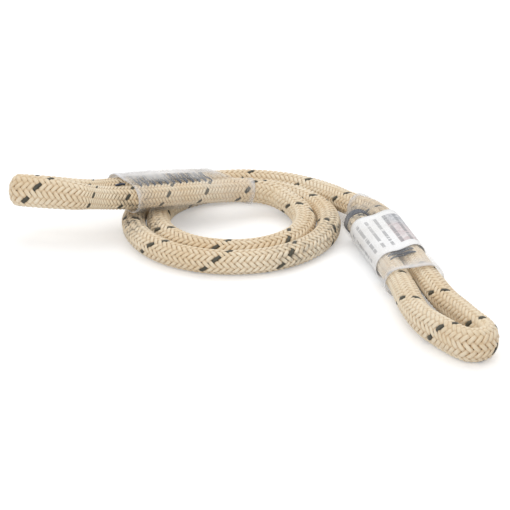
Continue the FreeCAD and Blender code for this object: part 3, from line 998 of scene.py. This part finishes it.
# %% Label finish
label_finish, tree = material("printed_label_film")
uv = add(tree, "ShaderNodeUVMap", {"uv_map": "wrap"}).outputs[0]
split = add(tree, "ShaderNodeSeparateXYZ", None, {0: uv}).outputs
u, v = Sum(tree, split[0]), Sum(tree, split[1])
ROWS_ROUND = 14.0             # rows of print are about 3 mm apart round the pair
ROW_INK = (0.30, 0.64)        # the inked part of a row's height
PRINT_MARGIN = (0.12, 0.86)   # where the print starts and ends along the film
BLOCK_BEFORE, BLOCK_ROUND = 0.16, 0.21    # the block starts this far before the seam of the map


def between(value, low, high):
    return value.to("GREATER_THAN", low) * value.to("LESS_THAN", high)


row = (v * ROWS_ROUND).to("FLOOR")
margin = between(u, *PRINT_MARGIN)
words = add(tree, "ShaderNodeCombineXYZ", None, {0: u * 27.0, 1: row * 7.7}).outputs[0]
broken = noise(tree, words, 1.0, 1.0).to("GREATER_THAN", 0.42)
printed = between(v * ROWS_ROUND - row, *ROW_INK) * broken * margin
film = mixed(tree, noise(tree, uv, 6.0, 3.0), "#F6F7F9", "#FFFFFF")
round_on = (v + BLOCK_BEFORE).to("FRACT")
tone = ramp(tree, u + round_on * 1.2, 0.45, 0.65, soft=True)
panel = mixed(tree, tone, "#8D8F9B", "#C3ABAD")
in_block = round_on.to("LESS_THAN", BLOCK_ROUND) * margin * (noise(tree, uv, 14.0) * 1.15)
plain_film = mixed(tree, in_block, film, panel)
surface(tree, {"Base Color": mixed(tree, printed * 0.62, plain_film, "#6C7078"), "Roughness": 0.4})


# %% Sheet and sleeve meshes
def shell_mesh(name, outer_rings, inner_rings):
    """A thin wall between two sets of rings, open at both ends, mapped along and round."""
    rings = outer_rings + inner_rings[::-1]
    count, corners = len(rings), len(rings[0])
    points = [tuple(point) for ring in rings for point in ring]
    faces, places = [], []
    outside = len(outer_rings)
    along = [r / (outside - 1) for r in range(outside)]
    along = along + along[::-1]
    for r in range(count):
        n_r = (r + 1) % count
        for k in range(corners):
            n_k = (k + 1) % corners
            faces.append((r * corners + k, n_r * corners + k, n_r * corners + n_k, r * corners + n_k))
            v_a, v_b = k / corners, (k + 1) / corners
            places += [(along[r], v_a), (along[n_r], v_a), (along[n_r], v_b), (along[r], v_b)]
    mesh = bpy.data.meshes.new(name)
    mesh.from_pydata(points, [], faces)
    layer = mesh.uv_layers.new(name="wrap")
    layer.data.foreach_set("uv", np.array(places, np.float32).ravel())
    mesh.polygons.foreach_set("use_smooth", [True] * len(faces))
    return mesh


LABEL_START, LABEL_LENGTH, LABEL_STATIONS = 7.0, 25.8, 27
LABEL_RADIUS, LABEL_THICKNESS = 4.42, 0.12
LABEL_DIP = LOBE_DIP * 0.8
LABEL_START_SLANT, LABEL_END_SLANT = -0.6, -1.6
label_walls = []
for extra in (LABEL_THICKNESS, 0.0):
    rings = []
    for index in range(LABEL_STATIONS):
        share = index / (LABEL_STATIONS - 1)
        here = right_pair.station((LABEL_START + LABEL_LENGTH * share) * MM)
        slant = LABEL_START_SLANT + (LABEL_END_SLANT - LABEL_START_SLANT) * share
        rings.append(wrap(here, HALF_PAIR, LABEL_RADIUS + extra, LABEL_DIP, slant))
    label_walls.append(rings)
label = link_object("printed_label", shell_mesh("printed_label", *label_walls))
label.data.materials.append(label_finish)
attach(label, "root")
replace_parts(label, "right_label")

# %% [markdown]
# ## The clear sleeves
# Each sleeve is a clear PVC tube shrunk on with hot air. It follows both ropes, sinks a little
# between them, and closes in on the single rope. It has gone milky over the tail and at its edges. The film
# is a thin wall with part of the light going straight through, cloudier in patches.

# %% Sleeve finish
sleeve_finish, tree = material("clear_shrink_pvc")
place = object_place(tree)
cloud, ripple = noise(tree, place, 110.0, 4.0), noise(tree, place, 420.0)
haze = attribute(tree, "haze")
cover = ramp(tree, cloud, 0.40, 0.68, 0.03, 0.13) + haze * ramp(tree, cloud, 0.40, 0.58, 0.45, 1.0)
surface(tree, {"Base Color": mixed(tree, haze, "#FDFAF5", "#F1F2F8"), "Roughness": 0.16,
               "IOR": 1.53, "Alpha": cover.to("MINIMUM", 0.9),
               "Normal": bumps(tree, ripple, 0.35, 0.25 * MM)})

# %% Sleeve meshes
SLEEVE_WALL = 0.35
SLEEVE_BORE = 4.68
SLEEVE_GRIP = 4.12
SHOULDER_LENGTH = 7.0
SINGLE_LENGTH = 5.0
SINGLE_HALF = 0.1             # half the straight part of a ring on the single rope
SINGLE_STATIONS, SHOULDER_STATIONS, PAIR_STATIONS = 6, 9, 44
SHIVERS = ((0.06, 41, 0), (0.04, 97, 1))       # small waves of the film: height, rate and start
TAIL_SIDE = (0.22, 0.15)      # the middle of the tail's rope on the way round, and the haze's reach
TAIL_HAZE_ROWS = (6, 14)      # the haze over the tail grows over these rows of the film
SINGLE_EDGE_HAZE, MOUTH_EDGE_HAZE = (0.50, 1.5), (0.42, 1.1)     # strength, and reach in rows
MOUTH_HAZE_ROWS = (11, 3)     # before the mouth


def sleeve(name, pair, sewn, mouth_slant, haze_on_tail, haze_at_mouth):
    walls = []
    for extra in (SLEEVE_WALL, 0.0):
        rings = []
        for before in np.linspace(SHOULDER_LENGTH + SINGLE_LENGTH, SHOULDER_LENGTH, SINGLE_STATIONS):
            rings.append(wrap(pair.on_single(before * MM), SINGLE_HALF, SLEEVE_GRIP + extra))
        low = pair.on_single(SHOULDER_LENGTH * MM)
        high = pair.station(0)
        for share in np.linspace(0, 1, SHOULDER_STATIONS)[1:-1]:
            blend = float(smooth_step(0, 1, share))
            middle = [a + (b - a) * blend for a, b in zip(low, high)]
            middle[0] = low[0] + (high[0] - low[0]) * share
            half = SINGLE_HALF + (HALF_PAIR - SINGLE_HALF) * blend
            radius = SLEEVE_GRIP + (SLEEVE_BORE - SLEEVE_GRIP) * blend + extra
            rings.append(wrap(middle, half, radius, LOBE_DIP * blend ** 2))
        for index in range(PAIR_STATIONS):
            share = index / (PAIR_STATIONS - 1)
            here = pair.station(sewn * share * MM)
            shiver = sum(height * math.sin(share * rate + start) for height, rate, start in SHIVERS)
            slant = mouth_slant * float(smooth_step(0.55, 1.0, share))
            dip = LOBE_DIP * (1 - 0.7 * float(smooth_step(0.85, 1.0, share)))
            rings.append(wrap(here, HALF_PAIR, SLEEVE_BORE + extra + shiver, dip, slant))
        walls.append(rings)
    piece = link_object(name, shell_mesh(name, *walls))
    # the film is milky over the tail's rope, at its two edges, and towards its mouth
    rows = len(walls[0])
    row_at = np.concatenate([np.arange(rows), np.arange(rows)[::-1]])
    share_round = np.arange(SLEEVE_CORNERS) / SLEEVE_CORNERS
    on_tail = np.exp(-((share_round - TAIL_SIDE[0]) / TAIL_SIDE[1]) ** 2)
    sewn_rows = smooth_step(*TAIL_HAZE_ROWS, row_at)
    rim = 0.0
    for (strength, reach), from_edge in ((SINGLE_EDGE_HAZE, row_at), (MOUTH_EDGE_HAZE, rows - 1 - row_at)):
        rim = rim + strength * np.exp(-(from_edge / reach) ** 2)
    rim += haze_at_mouth * smooth_step(rows - MOUTH_HAZE_ROWS[0], rows - MOUTH_HAZE_ROWS[1], row_at)
    haze = haze_on_tail * sewn_rows[:, None] * on_tail[None, :] + rim[:, None]
    store = piece.data.attributes.new("haze", "FLOAT", "POINT")
    store.data.foreach_set("value", haze.astype(np.float32).ravel())
    piece.data.materials.append(sleeve_finish)
    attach(piece, "root")
    return piece


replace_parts(sleeve("left_clear_sleeve", left_pair, LEFT_SEWN, -2.8, 0.50, 0.05), "left_sleeve")
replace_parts(sleeve("right_clear_sleeve", right_pair, RIGHT_SEWN, 0.9, 0.08, 0.16), "right_sleeve")
